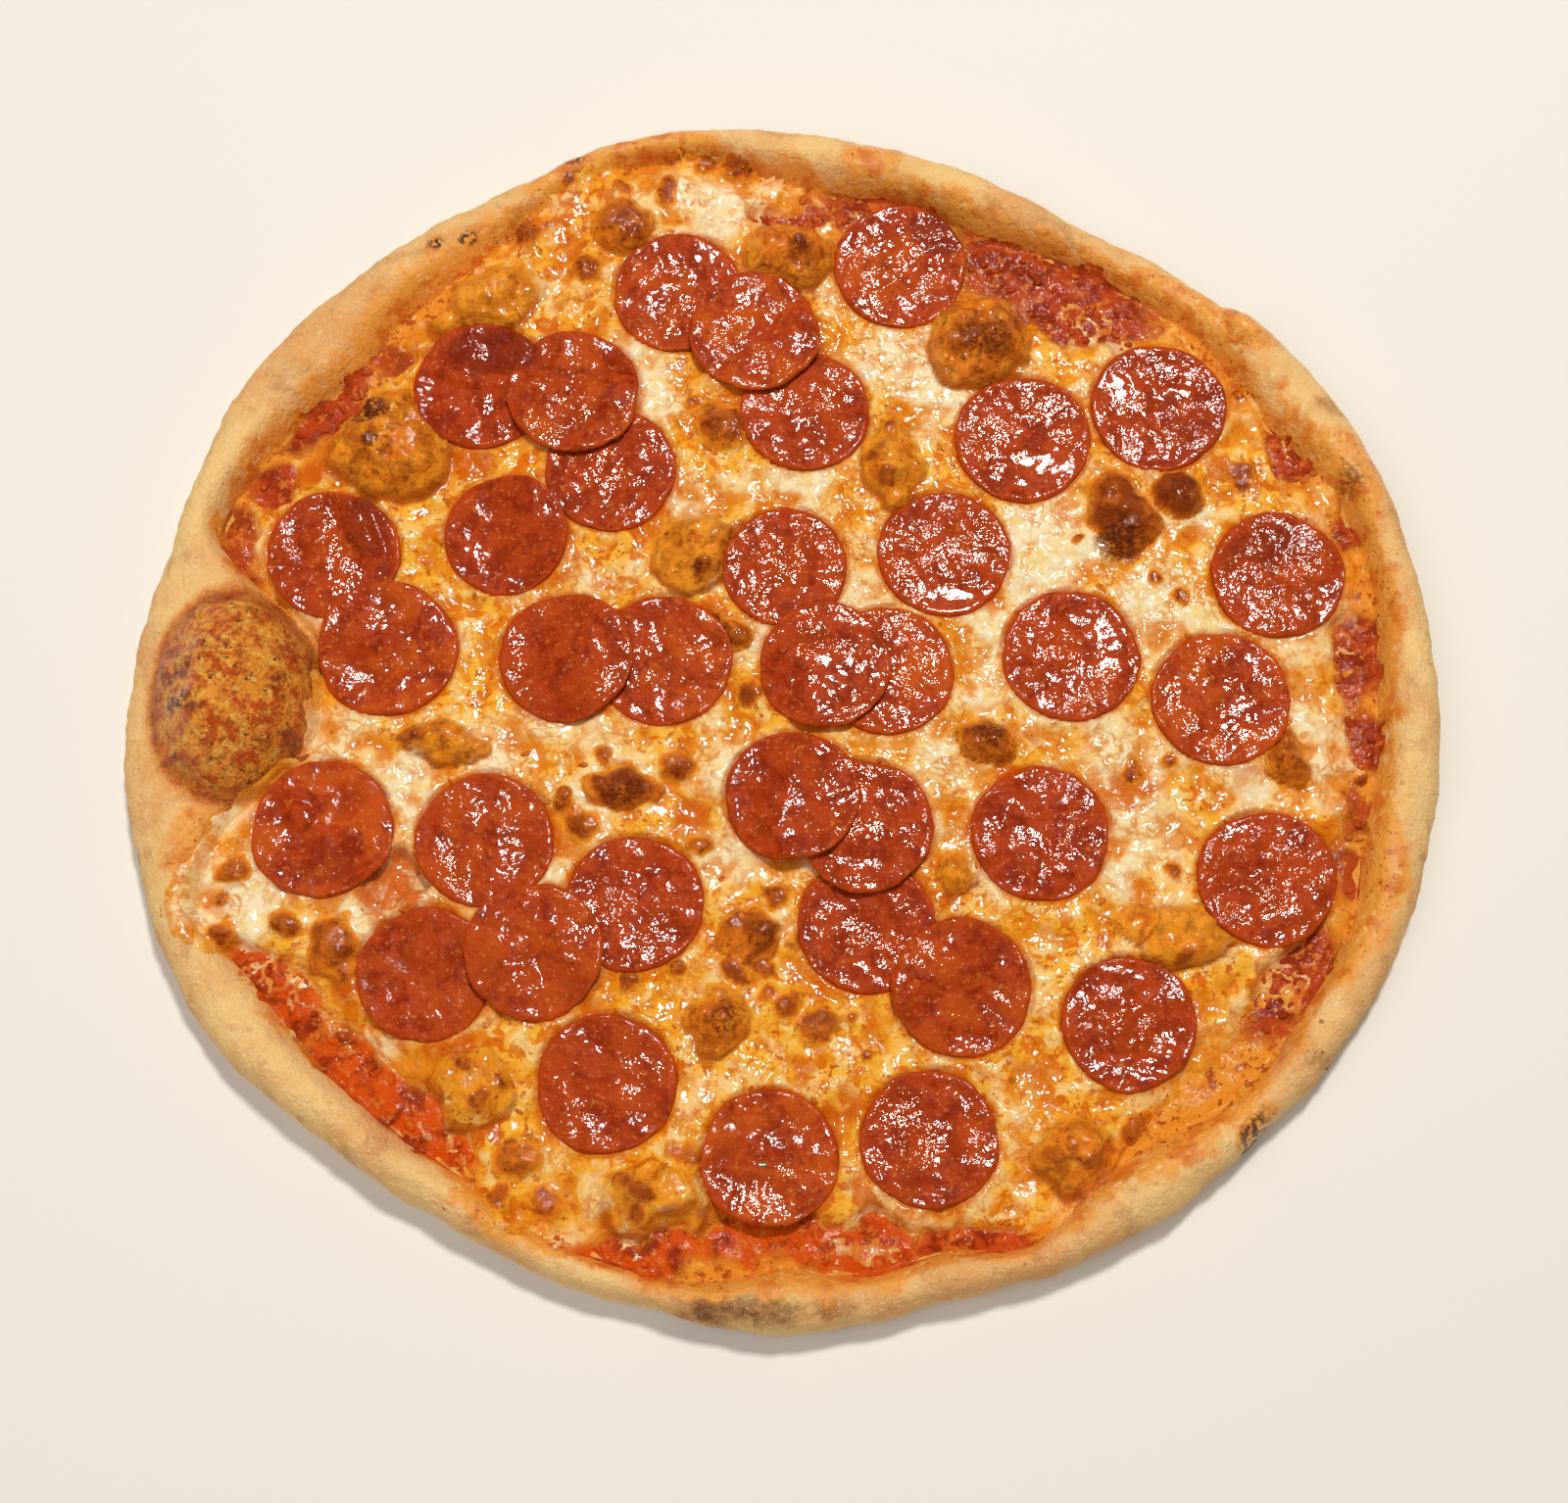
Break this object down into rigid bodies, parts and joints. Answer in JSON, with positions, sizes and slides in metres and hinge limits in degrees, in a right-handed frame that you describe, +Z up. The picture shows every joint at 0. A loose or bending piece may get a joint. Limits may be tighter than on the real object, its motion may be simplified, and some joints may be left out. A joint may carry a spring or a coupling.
{
  "type": "whole salami pizza",
  "caption": "Whole round baked pizza with a puffed rim, tomato sauce, melted cheese with browned bubbles, and salami slices lying on it, some overlapping.",
  "frame": {"origin": "middle of the outline, on the flat underside of the dough", "axes": "+Z up through the pizza, +X to the right and +Y away from the viewer, with the big dough bubble at -X"},
  "size_m": [0.326, 0.3124, 0.0285],
  "materials": {
    "baked_dough": "dry, floury baked dough, golden to brown",
    "tomato_sauce": "moist dark red sauce",
    "melted_cheese": "oily melted cheese, cream to golden brown",
    "salami": "shiny, oily baked salami"
  },
  "bodies": {
    "root": {"crust": "baked_dough", "tomato_sauce": "tomato_sauce", "cheese": "melted_cheese", "salami_01": "salami", "salami_02": "salami", "salami_03": "salami", "salami_04": "salami", "salami_05": "salami", "salami_06": "salami", "salami_07": "salami", "salami_08": "salami", "salami_09": "salami", "salami_10": "salami", "salami_11": "salami", "salami_12": "salami", "salami_13": "salami", "salami_14": "salami", "salami_15": "salami", "salami_16": "salami", "salami_17": "salami", "salami_18": "salami", "salami_19": "salami", "salami_20": "salami", "salami_21": "salami", "salami_22": "salami", "salami_23": "salami", "salami_24": "salami", "salami_25": "salami", "salami_26": "salami", "salami_27": "salami", "salami_28": "salami", "salami_29": "salami", "salami_30": "salami", "salami_31": "salami", "salami_32": "salami", "salami_33": "salami", "salami_34": "salami", "salami_35": "salami", "salami_36": "salami"}
  },
  "joints": []
}
